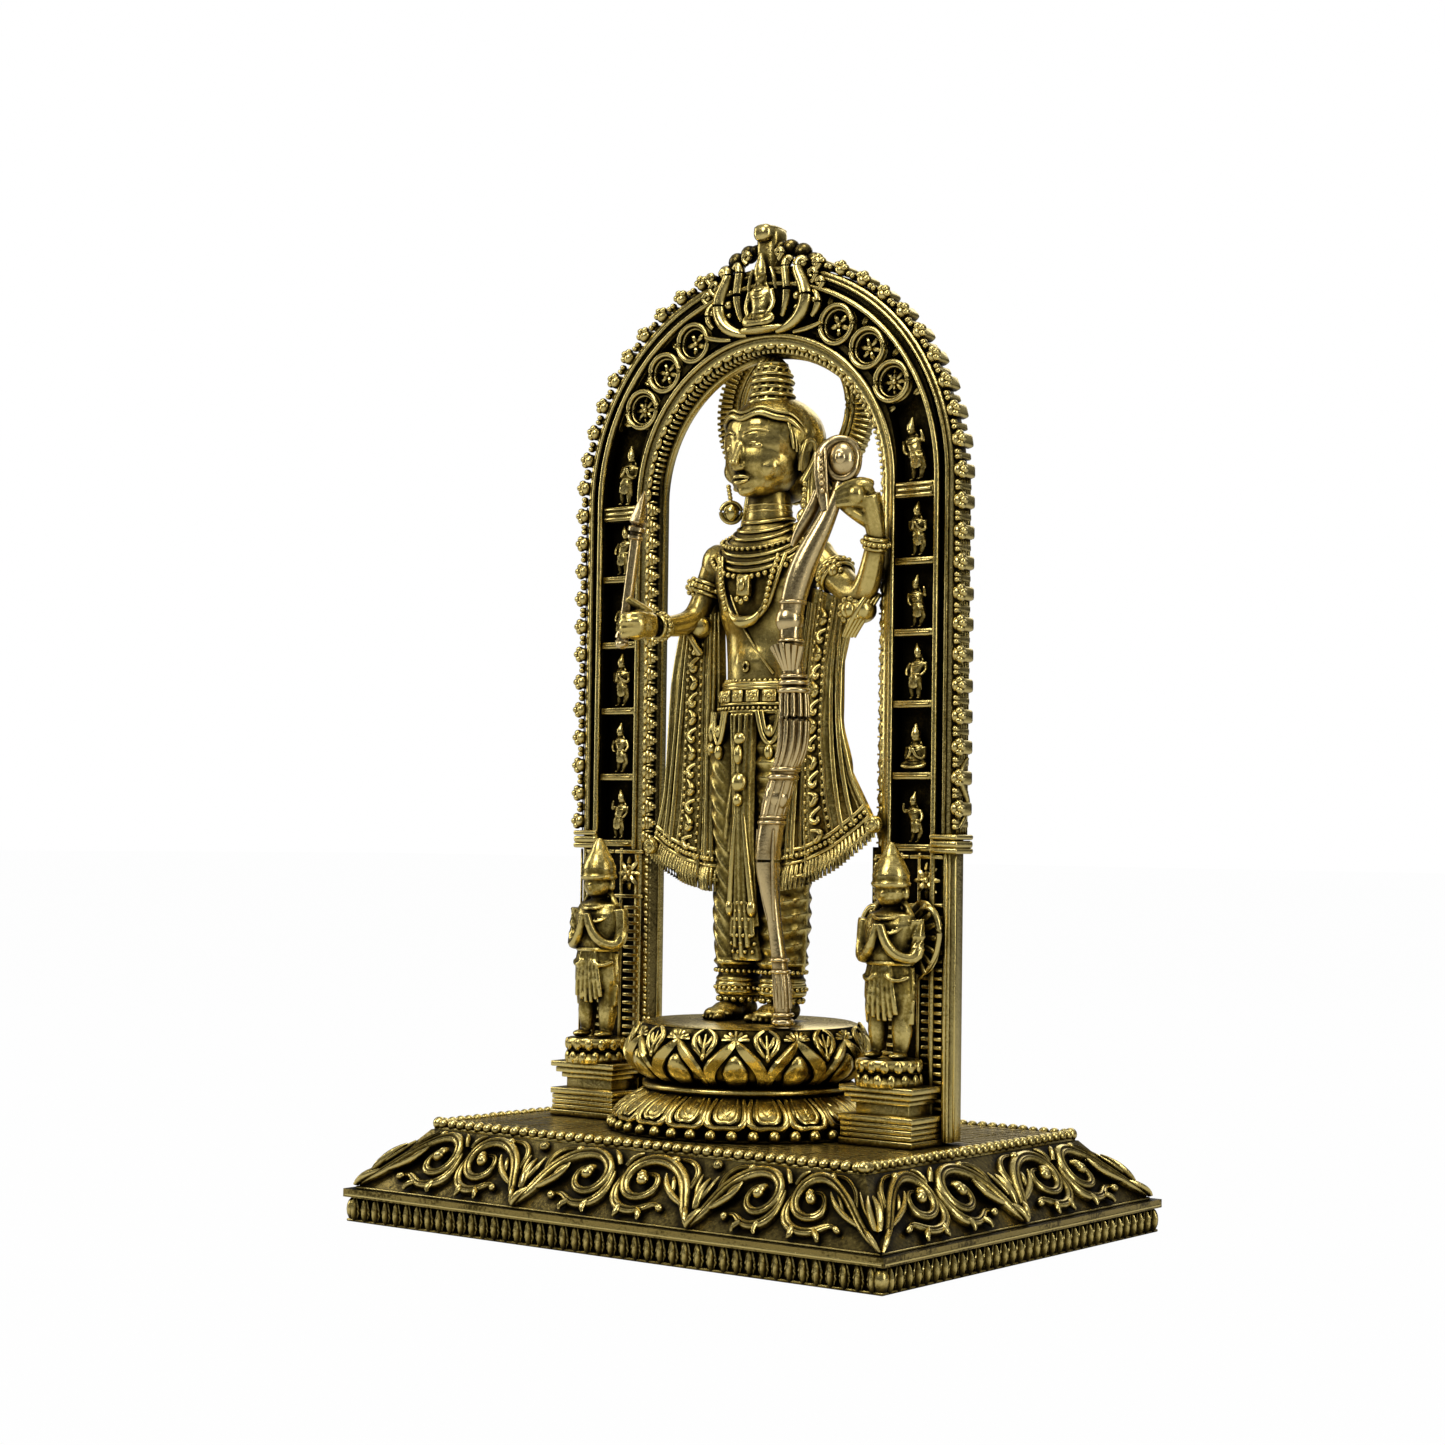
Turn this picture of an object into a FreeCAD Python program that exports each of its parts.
"""A cast brass temple statue: a standing archer under an arch, on a lotus pedestal and a moulded base.

Millimetres, +Z up. The origin is at the centre of the base's underside. The statue faces -Y, +X is at the
right of somebody who stands in front of it. Each casting is written to parts/NAME.step.
"""
import FreeCAD
import Part
import math
import os

V = FreeCAD.Vector

# ---------------------------------------------------------------- driving dimensions: base
BASE_WIDTH = 104.0
BASE_DEPTH = 80.0
FOOT_BAND_HEIGHT = 3.9
FOOT_BAND_INSET = 0.9
FOOT_BAND_WALL = 3.4
LIP_HEIGHT = 1.3
SLOPE_HEIGHT = 9.4
SLOPE_RUN = 8.4
SLOPE_FOOT_INSET = 1.4
BODY_WALL = 2.4
DECK_THICKNESS = 2.2
FLOOR_THICKNESS = 1.2
BEAD_RAIL_WIDTH = 1.9
BEAD_RAIL_HEIGHT = 1.8
FRIEZE_THICKNESS = 1.1
FRIEZE_MARGIN = 0.8

# ---------------------------------------------------------------- driving dimensions: pedestal
PEDESTAL_Y = -1.4
PEDESTAL_FOOT_RADIUS = 21.6
PEDESTAL_FOOT_HEIGHT = 2.1
LOWER_LOTUS_RADIUS = 22.0
LOWER_LOTUS_HEIGHT = 4.3
COLLAR_RADIUS = 17.1
COLLAR_HEIGHT = 1.5
UPPER_LOTUS_RADIUS = 19.1
UPPER_LOTUS_RIM = 17.8
UPPER_LOTUS_HEIGHT = 9.2

# ---------------------------------------------------------------- driving dimensions: arch
ARCH_INNER_HALF = 22.4
ARCH_FRAME_HALF = 34.0
ARCH_OUTER_HALF = 37.4
ARCH_SPRING_HEIGHT = 104.0
ARCH_THICKNESS = 3.9
CHANNEL_DEPTH = 2.4
RAIL_WIDTH = 0.9
INNER_BAND_WIDTH = 2.7
INNER_BAND_DEPTH = 1.5
OUTER_BAND_PROUD = 0.7
NICHE_COUNT = 5
NICHE_PITCH = 11.1
NICHE_START_HEIGHT = 45.2
LEDGE_HEIGHT = 0.9
CROSSBAR_HEIGHT = 2.4
FIGURINE_HEIGHT = 8.6
FIGURINE_RADIUS = 1.45
TOP_FIGURINE_HEIGHT = 11.0
MEDALLION_RADIUS = 3.7
MEDALLION_RIM = 0.8
MEDALLION_PROUD = 0.5
MEDALLION_ANGLES = (32.0, 46.4, 60.8)
CREST_HALF_ANGLE = 17.5
CREST_TOP_ABOVE_ARCH = 4.6
HALO_OUTER = 15.6
HALO_INNER = 10.4
HALO_THICKNESS = 2.0
HALO_STANDOFF = 4.0
HALO_DROP = 9.6
HALO_LUG_WIDTH = 2.4
HALO_LUG_GAP = 7.0

# ---------------------------------------------------------------- driving dimensions: side shrines
SHRINE_PROUD = 8.6
SHRINE_HALF = 6.7
SHRINE_LOTUS_CLEARANCE = 0.4
SHRINE_BLOCK_HEIGHT = 4.6
SHRINE_NECK_HEIGHT = 1.8
SHRINE_CORNICE_HEIGHT = 2.6
STAND_RADIUS = 5.7
STAND_HEIGHT = 4.0
ATTENDANT_HEIGHT = 33.0

# ---------------------------------------------------------------- driving dimensions: main figure
FIGURE_Y = 1.2
SOLE_LENGTH = 12.5
STANCE_HALF = 4.3
ANKLE_HEIGHT = 4.4
ANKLET_HEIGHT = 1.6
KNEE_HEIGHT = 27.0
HIP_HEIGHT = 49.0
BELT_HEIGHT = 54.0
CHEST_HEIGHT = 68.0
SHOULDER_HEIGHT = 72.6
CHIN_HEIGHT = 79.6
HEAD_TOP_HEIGHT = 101.0
TOPKNOT_HEIGHT = 6.6
HEAD_HALF_WIDTH = 8.1
HEAD_HALF_DEPTH = 8.1
SHOULDER_HALF = 11.6
WAIST_HALF = 6.5
HIP_HALF = 8.6
BELT_DROP = 4.6
ARM_RADIUS = 2.7
WRIST_RADIUS = 1.6
SHAWL_THICKNESS = 2.4
SHAWL_TAIL = 8.0
SHAWL_CORNERS = {-1.0: (20.6, 20.8), 1.0: (21.6, 16.0)}

# ---------------------------------------------------------------- driving dimensions: fasteners
PEDESTAL_BOLT_RADIUS = 2.5
PEDESTAL_BOLT_GRIP = 8.0
ARCH_SCREW_RADIUS = 1.3
ARCH_SCREW_GRIP = 6.0
SCREW_HEAD_FACTOR = 1.75
SCREW_HEAD_HEIGHT = 2.4
BORE_CLEARANCE = 0.15
SEAM_CLEARANCE = 0.02

# ---------------------------------------------------------------- levels and lines worked out from them
LIP_Z = FOOT_BAND_HEIGHT
SLOPE_Z = LIP_Z + LIP_HEIGHT
DECK_Z = SLOPE_Z + SLOPE_HEIGHT
FLOOR_Z = DECK_Z + FLOOR_THICKNESS
LOWER_LOTUS_Z = FLOOR_Z + PEDESTAL_FOOT_HEIGHT
COLLAR_Z = LOWER_LOTUS_Z + LOWER_LOTUS_HEIGHT
UPPER_LOTUS_Z = COLLAR_Z + COLLAR_HEIGHT
STAGE_Z = UPPER_LOTUS_Z + UPPER_LOTUS_HEIGHT
ARCH_SPRING_Z = FLOOR_Z + ARCH_SPRING_HEIGHT
CHANNEL_OUTER = ARCH_FRAME_HALF - RAIL_WIDTH
CHANNEL_INNER = ARCH_INNER_HALF + INNER_BAND_WIDTH + RAIL_WIDTH
CHANNEL_MID = (CHANNEL_OUTER + CHANNEL_INNER) / 2
NICHE_START_Z = FLOOR_Z + NICHE_START_HEIGHT
CROSSBAR_Z = NICHE_START_Z + NICHE_COUNT * NICHE_PITCH
CREST_Z = ARCH_SPRING_Z + CHANNEL_INNER
ARCH_TOP_Z = ARCH_SPRING_Z + ARCH_OUTER_HALF
HALO_Y = ARCH_THICKNESS + HALO_STANDOFF
HALO_Z = ARCH_SPRING_Z + ARCH_INNER_HALF - HALO_DROP
SHRINE_X = max(PEDESTAL_FOOT_RADIUS, LOWER_LOTUS_RADIUS) + SHRINE_LOTUS_CLEARANCE + SHRINE_HALF
CORNICE_Z = FLOOR_Z + SHRINE_BLOCK_HEIGHT + SHRINE_NECK_HEIGHT
STAND_Z = CORNICE_Z + SHRINE_CORNICE_HEIGHT
ATTENDANT_Z = STAND_Z + STAND_HEIGHT
ATTENDANT_Y = -SHRINE_PROUD / 2
SIDES = (("left", -1.0), ("right", 1.0))


# ---------------------------------------------------------------- shape helpers
def box(x0, x1, y0, y1, z0, z1):
    """An axis-aligned block between two corners."""
    return Part.makeBox(x1 - x0, y1 - y0, z1 - z0, V(x0, y0, z0))


def centred_box(half_x, half_y, z0, z1):
    """A block centred on the Z axis."""
    return box(-half_x, half_x, -half_y, half_y, z0, z1)


def upright(radius, height, x, y, z):
    """A round bar that stands on (x, y, z)."""
    return Part.makeCylinder(radius, height, V(x, y, z))


def frustum(half_x, half_y, z0, top_half_x, top_half_y, z1):
    """A block with sloping sides, centred on the Z axis."""
    wires = []
    for hx, hy, z in ((half_x, half_y, z0), (top_half_x, top_half_y, z1)):
        corners = [V(-hx, -hy, z), V(hx, -hy, z), V(hx, hy, z), V(-hx, hy, z), V(-hx, -hy, z)]
        wires.append(Part.makePolygon(corners))
    return Part.makeLoft(wires, True, True)


def turned(profile, x, y):
    """A solid of revolution about a vertical line, from (radius, z) points that start and end on it."""
    points = [V(r, 0, z) for r, z in profile]
    face = Part.Face(Part.makePolygon(points + [points[0]]))
    solid = face.revolve(V(0, 0, 0), V(0, 0, 1), 360)
    solid.translate(V(x, y, 0))
    return solid


def ovals_loft(sections):
    """A smooth upright form through horizontal ovals (x, y, z, half_x, half_y)."""
    return Part.makeLoft([polygon_oval(*s) for s in sections], True, False)


def polygon_oval(x, y, z, half_x, half_y, count=12):
    """A closed smooth curve round an ellipse, with its seam at the back."""
    ring = []
    for i in range(count):
        a = math.pi / 2 + 2 * math.pi * i / count
        ring.append(V(x + half_x * math.cos(a), y + half_y * math.sin(a), z))
    curve = Part.BSplineCurve()
    curve.interpolate(Points=ring, PeriodicFlag=True)
    return Part.Wire(curve.toShape())


def ball(x, y, z, radius):
    """A sphere about a point."""
    return Part.makeSphere(radius, V(x, y, z))


def egg(x, y, z, half_x, half_y, half_z):
    """An ellipsoid about a point."""
    matrix = FreeCAD.Matrix()
    matrix.scale(half_x, half_y, half_z)
    solid = Part.makeSphere(1.0).transformGeometry(matrix)
    solid.translate(V(x, y, z))
    return solid


def rod(start, end, r0, r1):
    """A round bar that tapers from r0 to r1."""
    line = end - start
    if abs(r0 - r1) < 1e-6:
        return Part.makeCylinder(r0, line.Length, start, line)
    return Part.makeCone(r0, r1, line.Length, start, line)


def limb(joints):
    """Tapered bars through (point, radius) joints, with a ball at each joint between them."""
    solid = None
    for (a, ra), (b, rb) in zip(joints, joints[1:]):
        piece = rod(a, b, ra, rb).fuse(ball(b.x, b.y, b.z, rb))
        solid = piece if solid is None else solid.fuse(piece)
    a, ra = joints[0]
    return solid.fuse(ball(a.x, a.y, a.z, ra)).removeSplitter()


def arch_solid(half, y0, y1, z0):
    """The filled outline of an arch: straight sides and a half-round top."""
    legs = box(-half, half, y0, y1, z0, ARCH_SPRING_Z)
    top = Part.makeCylinder(half, y1 - y0, V(0, y0, ARCH_SPRING_Z), V(0, 1, 0))
    return legs.fuse(top).removeSplitter()


def arch_band(outer, inner, y0, y1, z0=FLOOR_Z):
    """A band between two arch outlines."""
    return arch_solid(outer, y0, y1, z0).cut(arch_solid(inner, y0 - 1, y1 + 1, z0 - 1)).removeSplitter()


def fan(half_angle, reach, y0, y1):
    """A wedge about the top of the arch, for cutting bands where the crest sits."""
    a = math.radians(half_angle)
    tip = V(0, y0, ARCH_SPRING_Z)
    left = V(-reach * math.tan(a), y0, ARCH_SPRING_Z + reach)
    right = V(reach * math.tan(a), y0, ARCH_SPRING_Z + reach)
    return Part.Face(Part.makePolygon([tip, left, right, tip])).extrude(V(0, y1 - y0, 0))


def block_of(corners):
    """A solid with six flat faces: four corners below, then the four above them."""
    rings = [(0, 1, 2, 3), (4, 5, 6, 7), (0, 1, 5, 4), (1, 2, 6, 5), (2, 3, 7, 6), (3, 0, 4, 7)]
    faces = [Part.Face(Part.makePolygon([corners[i] for i in ring + ring[:1]])) for ring in rings]
    solid = Part.Solid(Part.Shell(faces))
    if solid.Volume < 0:
        solid.reverse()
    return solid


def group(solids):
    """Several separate solids as one node."""
    return Part.makeCompound([s for shape in solids for s in shape.Solids])


def on_arch(radius, degrees_from_top):
    """(x, z) of a place on the round of the arch."""
    a = math.radians(degrees_from_top)
    return radius * math.sin(a), ARCH_SPRING_Z + radius * math.cos(a)


# ---------------------------------------------------------------- base
def slope_half(z, offset=0.0):
    """Half width and half depth of the sloping body at a height, moved out by offset along its normal."""
    share = (z - SLOPE_Z) / SLOPE_HEIGHT
    run = SLOPE_FOOT_INSET + SLOPE_RUN * share
    out = offset * math.hypot(SLOPE_RUN, SLOPE_HEIGHT) / SLOPE_HEIGHT
    return BASE_WIDTH / 2 - run + out, BASE_DEPTH / 2 - run + out


def screw_places():
    """(x, y) of the two screws that hold the side shrines and the arch."""
    return [(side * SHRINE_X, ATTENDANT_Y) for _, side in SIDES]


def fastener_bores(z0, z1):
    """Clearance holes through the deck and the floor."""
    bores = [upright(PEDESTAL_BOLT_RADIUS + BORE_CLEARANCE, z1 - z0, 0, PEDESTAL_Y, z0)]
    for x, y in screw_places():
        bores.append(upright(ARCH_SCREW_RADIUS + BORE_CLEARANCE, z1 - z0, x, y, z0))
    return bores


def foot_band():
    """The low ring of upright petals that the statue stands on."""
    hx, hy = BASE_WIDTH / 2 - FOOT_BAND_INSET, BASE_DEPTH / 2 - FOOT_BAND_INSET
    ring = centred_box(hx, hy, 0, FOOT_BAND_HEIGHT)
    return ring.cut(centred_box(hx - FOOT_BAND_WALL, hy - FOOT_BAND_WALL, -1, FOOT_BAND_HEIGHT + 1))


def base_body():
    """The hollow casting with the lip, the sloping sides and the deck."""
    low, high = slope_half(SLOPE_Z), slope_half(DECK_Z)
    shell = centred_box(BASE_WIDTH / 2, BASE_DEPTH / 2, LIP_Z, SLOPE_Z)
    shell = shell.fuse(frustum(*low, SLOPE_Z, *high, DECK_Z))
    top = DECK_Z - DECK_THICKNESS
    inner_low, inner_high = slope_half(LIP_Z, -BODY_WALL), slope_half(top, -BODY_WALL)
    shell = shell.cut(frustum(*inner_low, LIP_Z, *inner_high, top))
    for bore in fastener_bores(top - 1, DECK_Z + 1):
        shell = shell.cut(bore)
    return shell.removeSplitter()


def deck_half():
    """Half width and half depth of the deck on top of the base body."""
    return slope_half(DECK_Z)


def bead_rail():
    """The rail of beads round the edge of the deck."""
    hx, hy = deck_half()
    ring = centred_box(hx, hy, DECK_Z, DECK_Z + BEAD_RAIL_HEIGHT)
    return ring.cut(centred_box(hx - BEAD_RAIL_WIDTH, hy - BEAD_RAIL_WIDTH, DECK_Z - 1, DECK_Z + 9))


def floor_plate():
    """The tiled plate inside the bead rail."""
    hx, hy = deck_half()
    edge = BEAD_RAIL_WIDTH + SEAM_CLEARANCE
    plate = centred_box(hx - edge, hy - edge, DECK_Z, FLOOR_Z)
    for bore in fastener_bores(DECK_Z - 1, FLOOR_Z + 1):
        plate = plate.cut(bore)
    return plate


def friezes():
    """The four relief panels of scrollwork on the sloping sides, mitred at the corners."""
    z0, z1 = SLOPE_Z + FRIEZE_MARGIN, DECK_Z - FRIEZE_MARGIN
    drop = FRIEZE_THICKNESS * SLOPE_RUN / math.hypot(SLOPE_RUN, SLOPE_HEIGHT)
    rings = []
    for z, offset in ((z0, 0.0), (z0 + drop, FRIEZE_THICKNESS), (z1 + drop, FRIEZE_THICKNESS), (z1, 0.0)):
        hx, hy = slope_half(z if offset == 0.0 else z - drop)
        out = offset * SLOPE_HEIGHT / math.hypot(SLOPE_RUN, SLOPE_HEIGHT)
        hx, hy = hx + out, hy + out
        rings.append([V(-hx, -hy, z), V(hx, -hy, z), V(hx, hy, z), V(-hx, hy, z)])
    panels = {}
    for name, i in (("front", 0), ("right", 1), ("back", 2), ("left", 3)):
        j = (i + 1) % 4
        corners = [ring[i] for ring in rings] + [ring[j] for ring in rings]
        panels["scroll_frieze_" + name] = block_of(corners)
    return panels


# ---------------------------------------------------------------- pedestal
def pedestal_bore(z0, z1):
    """The hole for the pedestal bolt between two heights."""
    return upright(PEDESTAL_BOLT_RADIUS + BORE_CLEARANCE, z1 - z0, 0, PEDESTAL_Y, z0)


def pedestal_foot():
    """The beaded disc under the lower lotus."""
    disc = upright(PEDESTAL_FOOT_RADIUS, PEDESTAL_FOOT_HEIGHT, 0, PEDESTAL_Y, FLOOR_Z)
    return disc.cut(pedestal_bore(FLOOR_Z - 1, LOWER_LOTUS_Z + 1))


def lower_lotus():
    """The ring of petals that turn down."""
    z0, h = LOWER_LOTUS_Z, LOWER_LOTUS_HEIGHT
    profile = [(0, z0), (LOWER_LOTUS_RADIUS - 1.2, z0), (LOWER_LOTUS_RADIUS, z0 + 0.15 * h),
               (LOWER_LOTUS_RADIUS - 0.5, z0 + 0.45 * h), (COLLAR_RADIUS + 1.6, z0 + 0.8 * h),
               (COLLAR_RADIUS - 0.3, z0 + h), (0, z0 + h)]
    return turned(profile, 0, PEDESTAL_Y).cut(pedestal_bore(z0 - 1, z0 + h + 1))


def lotus_collar():
    """The plain ring between the two lotuses."""
    ring = upright(COLLAR_RADIUS, COLLAR_HEIGHT, 0, PEDESTAL_Y, COLLAR_Z)
    edges = [e for e in ring.Edges if isinstance(e.Curve, Part.Circle)]
    ring = ring.makeFillet(0.45 * COLLAR_HEIGHT, edges)
    return ring.cut(pedestal_bore(COLLAR_Z - 1, UPPER_LOTUS_Z + 1))


def upper_lotus():
    """The cup of petals that turn up, with the flat stage on top."""
    z0, h = UPPER_LOTUS_Z, UPPER_LOTUS_HEIGHT
    profile = [(0, z0), (COLLAR_RADIUS - 1.6, z0), (UPPER_LOTUS_RADIUS - 0.8, z0 + 0.22 * h),
               (UPPER_LOTUS_RADIUS, z0 + 0.45 * h), (UPPER_LOTUS_RIM + 0.5, z0 + 0.72 * h),
               (UPPER_LOTUS_RIM, z0 + 0.88 * h), (UPPER_LOTUS_RIM - 0.2, z0 + h), (0, z0 + h)]
    bore = pedestal_bore(z0 - 1, z0 + PEDESTAL_BOLT_GRIP - 1 + BORE_CLEARANCE)
    return turned(profile, 0, PEDESTAL_Y).cut(bore)


# ---------------------------------------------------------------- arch
def arch_frame():
    """The main plate of the arch, with the niche channel and the inner band cut into its face."""
    plate = arch_band(ARCH_FRAME_HALF, ARCH_INNER_HALF, 0, ARCH_THICKNESS)
    plate = plate.cut(arch_band(CHANNEL_OUTER, CHANNEL_INNER, -1, CHANNEL_DEPTH, NICHE_START_Z))
    inner = arch_band(ARCH_INNER_HALF + INNER_BAND_WIDTH, ARCH_INNER_HALF - 1, -1, INNER_BAND_DEPTH,
                      NICHE_START_Z)
    return plate.cut(inner).removeSplitter()


def arch_outer_band():
    """The leafy outer border, in two halves that meet the crest."""
    band = arch_band(ARCH_OUTER_HALF, ARCH_FRAME_HALF + SEAM_CLEARANCE, -OUTER_BAND_PROUD, ARCH_THICKNESS)
    return group([band.cut(fan(CREST_HALF_ANGLE, 2 * ARCH_OUTER_HALF, -9, 9))])


def arch_inner_band():
    """The strip of small studs round the opening."""
    outer = ARCH_INNER_HALF + INNER_BAND_WIDTH - SEAM_CLEARANCE
    return arch_band(outer, ARCH_INNER_HALF, 0.3, INNER_BAND_DEPTH, NICHE_START_Z)


def niche_bars(side):
    """Ledges between the niches of one leg, and the crossbar above them."""
    x0 = CHANNEL_INNER + SEAM_CLEARANCE
    x1 = CHANNEL_OUTER - SEAM_CLEARANCE
    bars = []
    for i in range(1, NICHE_COUNT + 1):
        top = NICHE_START_Z + i * NICHE_PITCH
        height = CROSSBAR_HEIGHT if i == NICHE_COUNT else LEDGE_HEIGHT
        ends = sorted((side * x0, side * x1))
        bars.append(box(*ends, 0.2, CHANNEL_DEPTH, top, top + height))
    return group(bars)


def figurine(x, y, z, height, radius):
    """A small standing figure for a niche: skirt, chest and head."""
    body = ovals_loft([(x, y, z, 0.8 * radius, 0.6 * radius), (x, y, z + 0.4 * height, radius, 0.7 * radius),
                       (x, y, z + 0.55 * height, 0.7 * radius, 0.55 * radius),
                       (x, y, z + 0.76 * height, radius, 0.7 * radius)])
    solid = body.fuse(ball(x, y, z + 0.86 * height, 0.14 * height))
    behind = box(x - 9, x + 9, CHANNEL_DEPTH, CHANNEL_DEPTH + 9, z - 1, z + 2 * height)
    return solid.cut(behind).removeSplitter()


def niche_figurines(side):
    """The row of small figures on one leg, with a taller one under the medallions."""
    y = CHANNEL_DEPTH - 0.5 * FIGURINE_RADIUS
    figures = []
    for i in range(NICHE_COUNT):
        z = NICHE_START_Z + i * NICHE_PITCH + LEDGE_HEIGHT + 0.3
        figures.append(figurine(side * CHANNEL_MID, y, z, FIGURINE_HEIGHT, FIGURINE_RADIUS))
    z = CROSSBAR_Z + CROSSBAR_HEIGHT + SEAM_CLEARANCE
    rise = max(0.0, z + 0.5 * TOP_FIGURINE_HEIGHT - ARCH_SPRING_Z)
    x = math.sqrt(CHANNEL_MID ** 2 - rise ** 2)
    figures.append(figurine(side * x, y, z, TOP_FIGURINE_HEIGHT, FIGURINE_RADIUS))
    return group(figures)


def medallion_places():
    """(x, z) of the medallions on both sides."""
    return [on_arch(CHANNEL_MID, side * (90 - a)) for _, side in SIDES for a in MEDALLION_ANGLES]


def medallion_radius():
    """Outer radius that fits the channel and leaves a gap to the next medallion."""
    step = math.radians(MEDALLION_ANGLES[1] - MEDALLION_ANGLES[0])
    beside = CHANNEL_MID * math.sin(step / 2) - SEAM_CLEARANCE
    across = (CHANNEL_OUTER - CHANNEL_INNER) / 2 - SEAM_CLEARANCE
    return min(MEDALLION_RADIUS, beside, across)


def medallions():
    """The turned cups of the medallions, each with a raised rim and a boss in its middle."""
    solids = []
    radius = medallion_radius()
    for x, z in medallion_places():
        depth = CHANNEL_DEPTH + MEDALLION_PROUD
        cup = Part.makeCylinder(radius, depth, V(x, -MEDALLION_PROUD, z), V(0, 1, 0))
        hollow = Part.makeCylinder(radius - MEDALLION_RIM, 1.7, V(x, -MEDALLION_PROUD - 0.1, z), V(0, 1, 0))
        boss = Part.makeCylinder(0.45 * radius, 1.4, V(x, -MEDALLION_PROUD + 0.3, z), V(0, 1, 0))
        solids.append(cup.cut(hollow).fuse(boss).removeSplitter())
    return group(solids)


def crest_backplate():
    """The hooded plate behind the crest figure."""
    outer = arch_band(ARCH_OUTER_HALF, CHANNEL_OUTER + RAIL_WIDTH + SEAM_CLEARANCE, -OUTER_BAND_PROUD,
                      ARCH_THICKNESS)
    plate = outer.common(fan(CREST_HALF_ANGLE - 0.2, 2 * ARCH_OUTER_HALF, -9, 9))
    hood_top = ARCH_TOP_Z + CREST_TOP_ABOVE_ARCH
    hood = box(-2.1, 2.1, -OUTER_BAND_PROUD, ARCH_THICKNESS, ARCH_TOP_Z - 1.5, hood_top - 2.1)
    dome = Part.makeCylinder(2.1, ARCH_THICKNESS + OUTER_BAND_PROUD, V(0, -OUTER_BAND_PROUD, hood_top - 2.1),
                             V(0, 1, 0))
    return plate.fuse(hood).fuse(dome).removeSplitter()


def crest_figure():
    """The small seated figure in the middle of the crest."""
    y = -OUTER_BAND_PROUD - 1.1
    z = CREST_Z
    seat = egg(0, y, z + 1.6, 4.6, 1.5, 1.5)
    chest = ovals_loft([(0, y, z + 2.2, 1.7, 1.1), (0, y, z + 4.8, 1.3, 1.0), (0, y, z + 7.9, 2.2, 1.2)])
    head = ball(0, y, z + 9.0, 1.5)
    crown = rod(V(0, y, z + 10.0), V(0, y, z + 13.0), 1.2, 0.4)
    figure = seat.fuse(chest).fuse(head).fuse(crown)
    return figure.cut(crest_backplate()).removeSplitter()


def crest_scrolls():
    """The two curled leaves beside the crest figure."""
    y0 = -OUTER_BAND_PROUD - 1.45
    solids = []
    for _, side in SIDES:
        x = side * 6.6
        outer = Part.makeCylinder(4.2, 1.45, V(x, y0, CREST_Z + 5.4), V(0, 1, 0))
        inner = Part.makeCylinder(2.6, 3.0, V(x, y0 - 1, CREST_Z + 5.4), V(0, 1, 0))
        gap = box(*sorted((x - side * 5.5, x - side * 0.2)), y0 - 1, y0 + 3, CREST_Z + 5.4, CREST_Z + 12)
        leaf = outer.cut(inner).cut(gap).cut(crest_figure())
        solids.append(max(leaf.Solids, key=lambda s: s.Volume))
    return group(solids)


def halo_ring():
    """The ribbed ring behind the head."""
    ring = Part.makeCylinder(HALO_OUTER, HALO_THICKNESS, V(0, HALO_Y, HALO_Z), V(0, 1, 0))
    hole = Part.makeCylinder(HALO_INNER, HALO_THICKNESS + 2, V(0, HALO_Y - 1, HALO_Z), V(0, 1, 0))
    return ring.cut(hole).cut(head()).removeSplitter()


def halo_lugs():
    """The two short bars that hold the halo off the back of the arch."""
    bars = []
    for _, side in SIDES:
        x = side * HALO_LUG_GAP / 2
        z = ARCH_SPRING_Z + ARCH_INNER_HALF + 1.2
        bars.append(box(x - HALO_LUG_WIDTH / 2, x + HALO_LUG_WIDTH / 2, ARCH_THICKNESS, HALO_Y, z, z + 2.4))
    return group(bars)


# ---------------------------------------------------------------- side shrines
def shrine(side):
    """The stepped block under an attendant, with the hole for its screw."""
    x = side * SHRINE_X
    y1 = -SEAM_CLEARANCE
    steps = [(SHRINE_HALF, SHRINE_PROUD, FLOOR_Z, FLOOR_Z + SHRINE_BLOCK_HEIGHT),
             (SHRINE_HALF - 1.2, SHRINE_PROUD - 1.2, FLOOR_Z + SHRINE_BLOCK_HEIGHT, CORNICE_Z),
             (SHRINE_HALF - 0.3, SHRINE_PROUD - 0.2, CORNICE_Z, STAND_Z)]
    block = None
    for half, proud, z0, z1 in steps:
        step = box(x - half, x + half, -proud, y1, z0, z1)
        block = step if block is None else block.fuse(step)
    depth = ARCH_SCREW_GRIP + BORE_CLEARANCE
    bore = upright(ARCH_SCREW_RADIUS + BORE_CLEARANCE, depth + 1, x, ATTENDANT_Y, FLOOR_Z - 1)
    edge = sorted((side * ARCH_FRAME_HALF, side * (ARCH_FRAME_HALF + 40)))
    border = box(*edge, -OUTER_BAND_PROUD - SEAM_CLEARANCE, 9, FLOOR_Z - 1, STAND_Z + 1)
    return block.cut(bore).cut(border).removeSplitter()


def stand_radius():
    """Radius of the round stand, clear of the arch behind it."""
    return min(STAND_RADIUS, SHRINE_PROUD / 2 + 1.1)


def attendant_stand(side):
    """The round moulded stand of an attendant, cut flat where it meets the arch."""
    x, r = side * SHRINE_X, stand_radius()
    profile = [(0, STAND_Z), (r, STAND_Z), (r, STAND_Z + 0.35 * STAND_HEIGHT),
               (r - 1.0, STAND_Z + 0.55 * STAND_HEIGHT), (r - 0.4, STAND_Z + 0.7 * STAND_HEIGHT),
               (r - 0.4, ATTENDANT_Z), (0, ATTENDANT_Z)]
    solid = turned(profile, x, ATTENDANT_Y)
    return solid.cut(box(x - 20, x + 20, -SEAM_CLEARANCE, 20, STAND_Z - 1, ATTENDANT_Z + 1))


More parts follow.
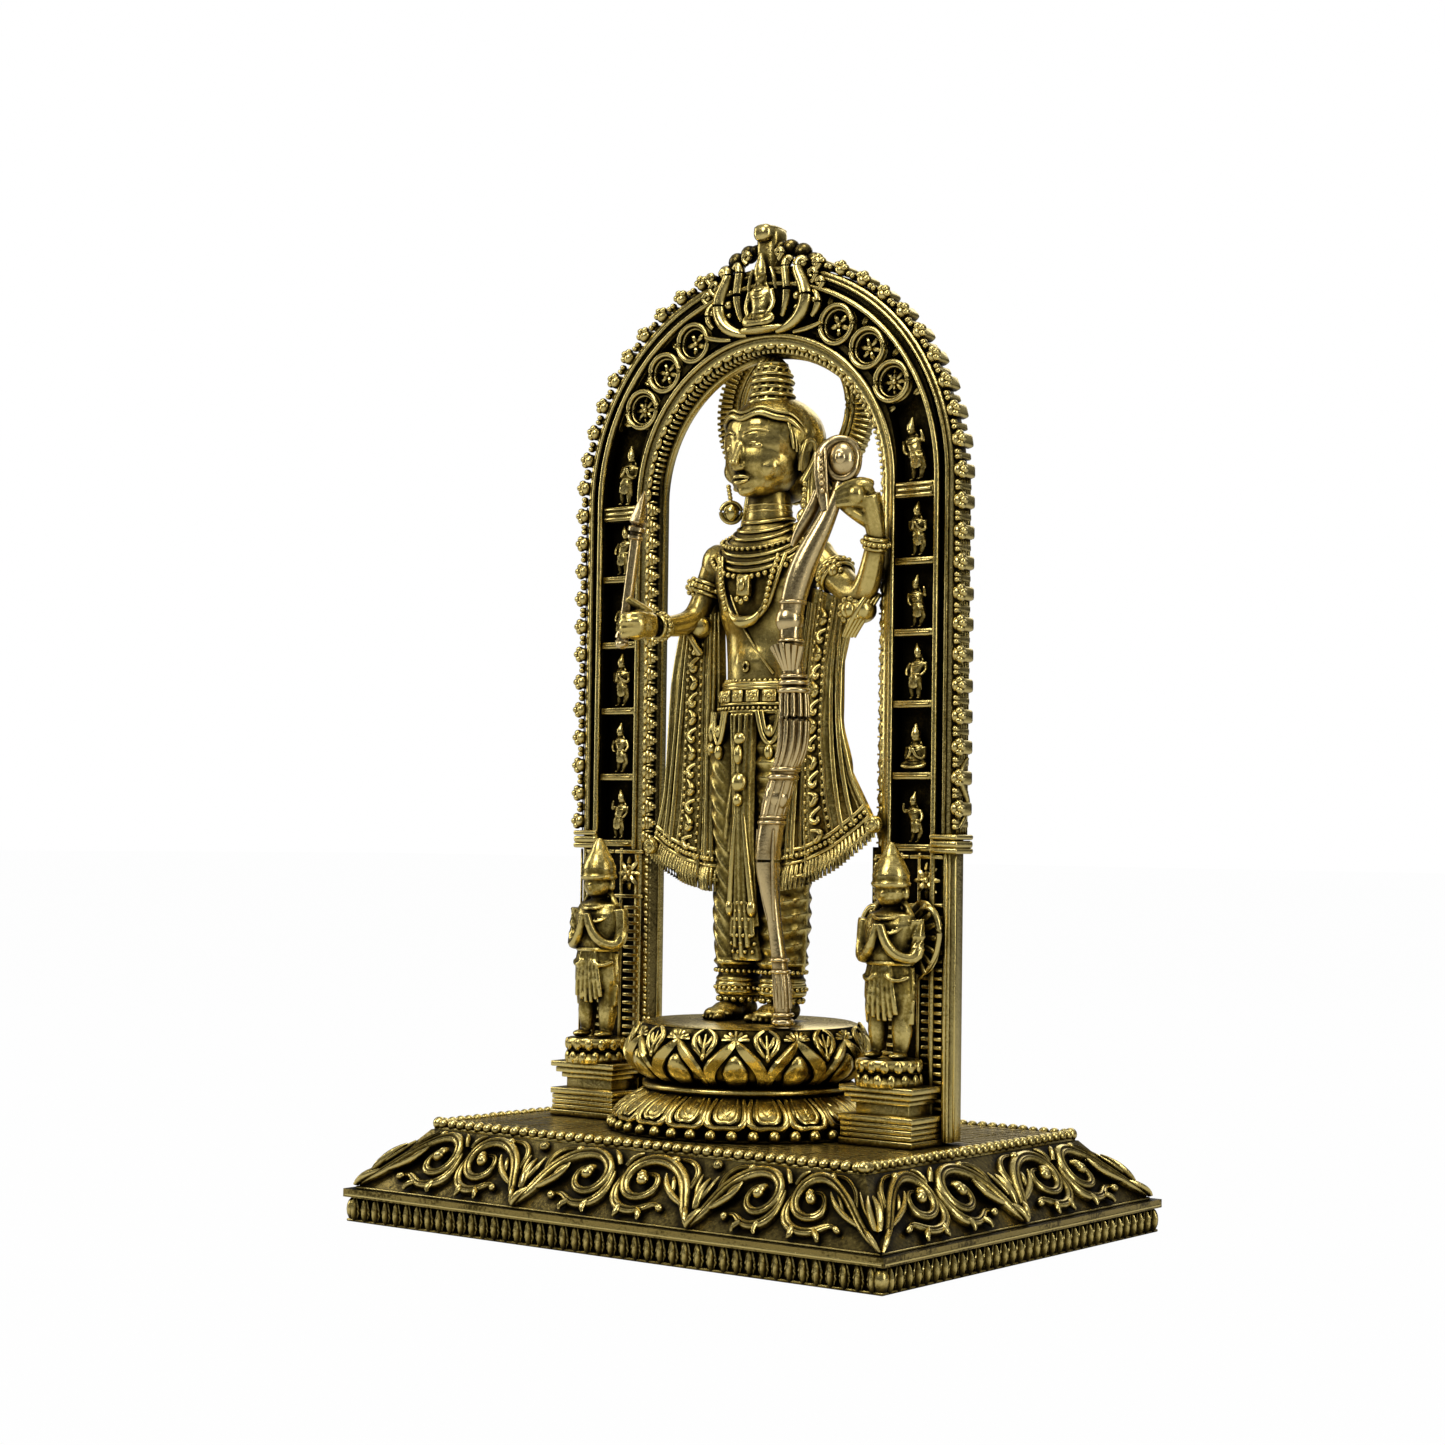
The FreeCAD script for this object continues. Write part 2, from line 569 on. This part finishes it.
def attendant(side):
    """A standing attendant with folded hands and a tall crown."""
    x, y, z, h = side * SHRINE_X, ATTENDANT_Y, ATTENDANT_Z, ATTENDANT_HEIGHT
    body = ovals_loft([(x, y, z, 2.6, 2.2), (x, y, z + 0.22 * h, 2.9, 1.8), (x, y, z + 0.42 * h, 3.7, 2.3),
                       (x, y, z + 0.5 * h, 2.6, 1.9), (x, y, z + 0.66 * h, 3.9, 2.2),
                       (x, y, z + 0.71 * h, 1.4, 1.3)])
    head = egg(x, y, z + 0.78 * h, 2.1, 2.2, 2.7)
    crown = ovals_loft([(x, y, z + 0.82 * h, 2.2, 2.2), (x, y, z + 0.9 * h, 1.9, 1.9),
                        (x, y, z + h, 0.6, 0.6)])
    solid = body.fuse(head).fuse(crown)
    for elbow in (-1, 1):
        shoulder = V(x + elbow * 3.4, y, z + 0.65 * h)
        bend = V(x + elbow * 4.3, y - 0.4, z + 0.52 * h)
        palm = V(x + elbow * 0.5, y - 3.0, z + 0.57 * h)
        solid = solid.fuse(limb([(shoulder, 1.2), (bend, 1.0), (palm, 0.8)]))
    return solid.cut(box(x - 20, x + 20, -SEAM_CLEARANCE, 20, z - 1, z + h + 1)).removeSplitter()


def attendant_wings():
    """The pair of folded wings behind the attendant at +X."""
    x, z, h = SHRINE_X, ATTENDANT_Z, ATTENDANT_HEIGHT
    wings = []
    for side in (-1, 1):
        feathers = egg(x + side * 4.6, -1.9, z + 0.56 * h, 2.6, 1.3, 0.2 * h)
        behind = box(x - 20, x + 20, -OUTER_BAND_PROUD - SEAM_CLEARANCE, 9, z, z + h)
        wings.append(feathers.cut(attendant(1.0)).cut(behind))
    return group([max(w.Solids, key=lambda s: s.Volume) for w in wings])


# ---------------------------------------------------------------- main figure
def at(x, y, height):
    """A point of the figure: x, y from its axis, and the height above the stage."""
    return V(x, FIGURE_Y + y, STAGE_Z + height)


def section(x, y, height, half_x, half_y):
    """An oval of the figure for a loft."""
    return (x, FIGURE_Y + y, STAGE_Z + height, half_x, half_y)


def leg_axis(side, height):
    """Sideways place of a leg at a height."""
    share = height / HIP_HEIGHT
    return side * STANCE_HALF * (1.0 - 0.08 * share)


def foot(side):
    """A bare foot that points forward."""
    x = side * STANCE_HALF
    sole = egg(x, FIGURE_Y - SOLE_LENGTH * 0.26, STAGE_Z + 1.2, 2.5, SOLE_LENGTH / 2, 2.0)
    ankle = rod(at(x, 1.4, 0), at(x, 1.4, ANKLE_HEIGHT + ANKLET_HEIGHT), 2.3, 2.0)
    below = box(x - 9, x + 9, -30, 30, STAGE_Z - 9, STAGE_Z)
    return sole.fuse(ankle).cut(below).removeSplitter()


def foot_pair():
    """Both feet."""
    return group([foot(side).cut(legs()) for _, side in SIDES])


def legs():
    """The draped legs, from the anklets to the waist."""
    start = ANKLE_HEIGHT + ANKLET_HEIGHT
    solid = None
    for _, side in SIDES:
        rows = [section(leg_axis(side, start), 1.4, start, 2.9, 2.9),
                section(leg_axis(side, 0.6 * KNEE_HEIGHT), 1.2, 0.6 * KNEE_HEIGHT, 3.9, 4.0),
                section(leg_axis(side, KNEE_HEIGHT), 0.6, KNEE_HEIGHT, 4.3, 4.4),
                section(leg_axis(side, HIP_HEIGHT), 0.4, HIP_HEIGHT, 4.9, 5.6)]
        leg = ovals_loft(rows)
        solid = leg if solid is None else solid.fuse(leg)
    hips = ovals_loft([section(0, 0.6, 0.72 * HIP_HEIGHT, HIP_HALF * 0.92, 4.6),
                       section(0, 0.4, HIP_HEIGHT, HIP_HALF, 5.8),
                       section(0, 0.4, BELT_HEIGHT - BELT_DROP / 2, WAIST_HALF + 0.8, 5.0)])
    return solid.fuse(hips).removeSplitter()


def waist_belt():
    """The broad belt under the navel."""
    z0, z1 = BELT_HEIGHT - BELT_DROP / 2, BELT_HEIGHT
    return ovals_loft([section(0, 0.4, z0, WAIST_HALF + 1.0, 5.3),
                       section(0, 0.4, z1, WAIST_HALF + 0.7, 5.0)])


def torso():
    """The bare chest and belly, with the neck."""
    rows = [section(0, 0.4, BELT_HEIGHT, WAIST_HALF, 4.5),
            section(0, 0.3, BELT_HEIGHT + 5.0, WAIST_HALF - 0.1, 4.6),
            section(0, 0.5, CHEST_HEIGHT - 3.0, WAIST_HALF + 1.5, 4.9),
            section(0, 0.8, CHEST_HEIGHT + 1.0, WAIST_HALF + 2.2, 4.5),
            section(0, 1.2, SHOULDER_HEIGHT + 1.6, 5.2, 3.4),
            section(0, 1.6, SHOULDER_HEIGHT + 3.4, 3.0, 2.9),
            section(0, 1.4, CHIN_HEIGHT + 1.5, 2.7, 2.8)]
    return ovals_loft(rows).cut(head()).removeSplitter()


def head():
    """The head with its close cap of hair."""
    middle = (CHIN_HEIGHT + HEAD_TOP_HEIGHT) / 2
    skull = egg(0, FIGURE_Y + 0.9, STAGE_Z + middle + 1.6, HEAD_HALF_WIDTH, HEAD_HALF_DEPTH,
                (HEAD_TOP_HEIGHT - CHIN_HEIGHT) / 2 - 1.6)
    jaw = egg(0, FIGURE_Y - 1.9, STAGE_Z + CHIN_HEIGHT + 5.2, 0.66 * HEAD_HALF_WIDTH, 4.8, 5.2)
    return skull.fuse(jaw).removeSplitter()


def topknot():
    """The tall bound knot of hair."""
    z = HEAD_TOP_HEIGHT - 0.9
    knot = ovals_loft([section(0, 1.2, z, 3.4, 3.4), section(0, 1.2, z + 0.45 * TOPKNOT_HEIGHT, 2.9, 2.9),
                       section(0, 1.2, z + 0.8 * TOPKNOT_HEIGHT, 2.3, 2.3),
                       section(0, 1.2, z + TOPKNOT_HEIGHT + 0.9, 0.9, 0.9)])
    return knot.cut(head()).removeSplitter()


def arm_joints(side):
    """(shoulder, elbow, wrist, knuckles) of an arm: -1 holds the arrow low, +1 raises the bow hand."""
    shoulder = at(side * (SHOULDER_HALF - ARM_RADIUS), 0.6, SHOULDER_HEIGHT - 1.6)
    if side < 0:
        elbow = at(-SHOULDER_HALF - 0.9, -0.8, SHOULDER_HEIGHT - 8.4)
        wrist = at(-SHOULDER_HALF - 1.6, -10.0, SHOULDER_HEIGHT - 10.2)
        knuckles = at(-SHOULDER_HALF - 2.0, -13.2, SHOULDER_HEIGHT - 10.0)
    else:
        elbow = at(SHOULDER_HALF + 8.2, -2.2, SHOULDER_HEIGHT - 7.6)
        wrist = at(SHOULDER_HALF + 12.2, -4.6, SHOULDER_HEIGHT + 3.0)
        knuckles = at(SHOULDER_HALF + 10.6, -7.4, SHOULDER_HEIGHT + 10.6)
    return shoulder, elbow, wrist, knuckles


def arm(side):
    """One bare arm with its closed hand."""
    shoulder, elbow, wrist, knuckles = arm_joints(side)
    solid = limb([(shoulder, ARM_RADIUS), (elbow, 0.82 * ARM_RADIUS), (wrist, WRIST_RADIUS), (knuckles, 1.9)])
    return solid.cut(torso()).removeSplitter()


def grip_point(side):
    """Where the hand closes round the arrow or the bow."""
    wrist, knuckles = arm_joints(side)[2:]
    reach = knuckles - wrist
    reach.normalize()
    return knuckles + reach * 1.2


def arrow():
    """The arrow that the lower hand holds upright."""
    foot_point = grip_point(-1) + V(-1.6, 0.4, -3.6)
    top = grip_point(-1) + V(-0.6, 1.6, 21.5)
    neck_point = grip_point(-1) + V(-0.9, 1.2, 16.0)
    shaft = rod(foot_point, neck_point, 1.05, 0.95)
    point = rod(neck_point, top, 1.9, 0.25)
    return shaft.fuse(point).cut(arm(-1)).removeSplitter()


def bow_route():
    """The bends of the bow, from its foot on the stage to its curled tip."""
    hand = grip_point(1)
    foot_point = V(11.2, PEDESTAL_Y - 9.4, STAGE_Z)
    return [(foot_point, 1.7), (V(12.2, -11.6, STAGE_Z + 18), 1.9), (V(13.2, -12.2, STAGE_Z + 38), 2.7),
            (V(13.8, -12.2, STAGE_Z + 52), 2.8), (V(14.4, -12.0, STAGE_Z + 63), 2.1),
            (V(hand.x - 1.6, hand.y - 2.2, hand.z - 5.0), 1.3),
            (V(hand.x - 1.3, hand.y - 1.9, hand.z + 0.5), 1.3),
            (V(hand.x - 1.4, hand.y - 1.0, hand.z + 5.0), 2.8)]


def bow():
    """The tall bow that stands on the lotus and leans into the raised hand."""
    solid = limb(bow_route())
    below = box(-40, 40, -40, 40, STAGE_Z - 20, STAGE_Z)
    for other in (below, arm(1), torso(), legs(), waist_belt(), head(), foot(1.0)):
        solid = solid.cut(other)
    return max(solid.Solids, key=lambda s: s.Volume).removeSplitter()


def shawl(side):
    """One hanging end of the shawl, from the crook of the arm to its wide hem and its low inner corner."""
    spread, drop = SHAWL_CORNERS[side]
    hem = HIP_HEIGHT - drop
    rows = [slab_wire(side, 10.6, 14.2, -0.6, SHOULDER_HEIGHT - 10.0),
            slab_wire(side, 9.8, spread - 3.2, -1.8, HIP_HEIGHT - 4.0),
            slab_wire(side, 7.4, spread, -2.6, hem)]
    tail = Part.makeLoft([slab_wire(side, 7.4, spread, -2.6, hem),
                          slab_wire(side, 4.6, 0.44 * spread, -4.2, hem - SHAWL_TAIL)], True, True)
    cloth = Part.makeLoft(rows, True, True).fuse(tail)
    for other in (legs(), arm(side), torso(), waist_belt(), bow()):
        cloth = cloth.cut(other)
    return max(cloth.Solids, key=lambda s: s.Volume).removeSplitter()


def slab_wire(side, inner, outer, y, height):
    """A flat four-cornered section of the shawl."""
    half = SHAWL_THICKNESS / 2
    corners = [at(side * inner, y - half, height), at(side * outer, y - half, height),
               at(side * outer, y + half, height), at(side * inner, y + half, height)]
    return Part.makePolygon(corners + corners[:1])


def sash():
    """The pleated cloth that hangs down the front, between the knees."""
    y = -5.0
    drop = ovals_loft([section(0, y + 2.0, 10.0, 3.2, 1.6),
                       section(0, y + 1.2, 0.75 * KNEE_HEIGHT, 2.0, 1.5),
                       section(0, y + 0.2, KNEE_HEIGHT + 10, 2.2, 1.5),
                       section(0, y - 0.2, HIP_HEIGHT, 2.8, 1.4)])
    return max(drop.cut(legs()).cut(bow()).Solids, key=lambda s: s.Volume)


def anklets():
    """A heavy ring round each ankle, under the hem."""
    rings = []
    for _, side in SIDES:
        x = side * STANCE_HALF
        low = section(x, 1.4, ANKLE_HEIGHT, 3.3, 3.3)
        high = section(x, 1.4, ANKLE_HEIGHT + ANKLET_HEIGHT, 3.1, 3.1)
        ring = ovals_loft([low, high]).cut(foot(side)).cut(bow())
        rings.append(max(ring.Solids, key=lambda s: s.Volume))
    return group(rings)


def necklaces():
    """The tiered collar on the chest."""
    collar = ovals_loft([section(0, 0.0, CHEST_HEIGHT - 1.0, 5.6, 5.0),
                         section(0, 0.6, CHEST_HEIGHT + 3.2, 5.2, 4.6),
                         section(0, 1.2, SHOULDER_HEIGHT + 2.0, 4.2, 3.8)])
    for other in (torso(), bow(), head(), arm(1), arm(-1)):
        collar = collar.cut(other)
    return max(collar.Solids, key=lambda s: s.Volume)


def earrings():
    """A round drop under each ear."""
    drops = []
    for _, side in SIDES:
        drop = egg(side * (HEAD_HALF_WIDTH - 0.6), FIGURE_Y + 0.4, STAGE_Z + CHIN_HEIGHT + 6.4, 1.7, 1.7, 3.4)
        for other in (head(), torso(), bow(), arm(side)):
            drop = drop.cut(other)
        drops.append(max(drop.Solids, key=lambda s: s.Volume))
    return group(drops)


def bracelets():
    """A band round each wrist."""
    bands = []
    for _, side in SIDES:
        _, elbow, wrist, _ = arm_joints(side)
        run = wrist - elbow
        run.normalize()
        start = wrist - run * 2.6
        band = Part.makeCylinder(WRIST_RADIUS + 1.0, 1.8, start, run)
        band = band.cut(arm(side)).cut(bow())
        bands.append(max(band.Solids, key=lambda s: s.Volume))
    return group(bands)


# ---------------------------------------------------------------- fasteners
def headed_screw(radius, x, y, top):
    """A screw that comes up from under the deck."""
    seat = DECK_Z - DECK_THICKNESS
    shank = upright(radius, top - seat, x, y, seat)
    return shank.fuse(upright(radius * SCREW_HEAD_FACTOR, SCREW_HEAD_HEIGHT, x, y, seat - SCREW_HEAD_HEIGHT))


def pedestal_bolt():
    """The bolt through the deck that holds the two lotuses and the figure."""
    return headed_screw(PEDESTAL_BOLT_RADIUS, 0, PEDESTAL_Y, UPPER_LOTUS_Z + PEDESTAL_BOLT_GRIP - 1)


def arch_screws():
    """The two screws that hold the side shrines and the arch."""
    grip_top = FLOOR_Z + ARCH_SCREW_GRIP
    return group([headed_screw(ARCH_SCREW_RADIUS, x, y, grip_top) for x, y in screw_places()])


# ---------------------------------------------------------------- build
def build():
    """All nodes by name."""
    nodes = {"foot_band": foot_band(), "base_body": base_body(), "bead_rail": bead_rail(),
             "floor_plate": floor_plate(), **friezes(),
             "pedestal_foot": pedestal_foot(), "lower_lotus": lower_lotus(), "lotus_collar": lotus_collar(),
             "upper_lotus": upper_lotus(), "arch_frame": arch_frame(), "arch_outer_band": arch_outer_band(),
             "arch_inner_band": arch_inner_band(), "medallions": medallions(),
             "crest_backplate": crest_backplate(), "crest_figure": crest_figure(),
             "crest_scrolls": crest_scrolls(), "halo_ring": halo_ring(), "halo_lugs": halo_lugs(),
             "attendant_wings": attendant_wings(), "foot_pair": foot_pair(), "legs": legs(), "sash": sash(),
             "waist_belt": waist_belt(), "torso": torso(), "head": head(), "topknot": topknot(),
             "arrow": arrow(), "bow": bow(), "anklets": anklets(), "necklaces": necklaces(),
             "earrings": earrings(), "bracelets": bracelets(), "pedestal_bolt": pedestal_bolt(),
             "arch_screws": arch_screws()}
    for name, side in SIDES:
        nodes["niche_bars_" + name] = niche_bars(side)
        nodes["niche_figurines_" + name] = niche_figurines(side)
        nodes["shrine_" + name] = shrine(side)
        nodes["attendant_stand_" + name] = attendant_stand(side)
        nodes["attendant_" + name] = attendant(side)
        nodes["arm_" + name] = arm(side)
        nodes["shawl_" + name] = shawl(side)
    return nodes


def main():
    """Builds every node, reports it and writes its STEP file."""
    os.makedirs("parts", exist_ok=True)
    for name, shape in sorted(build().items()):
        if not shape.isValid() or shape.Volume <= 0:
            print("BAD", name, shape.isValid(), shape.Volume)
        print(f"{name:24s} solids {len(shape.Solids):3d} volume {shape.Volume:10.1f}")
        shape.exportStep("parts/" + name + ".step")


main()
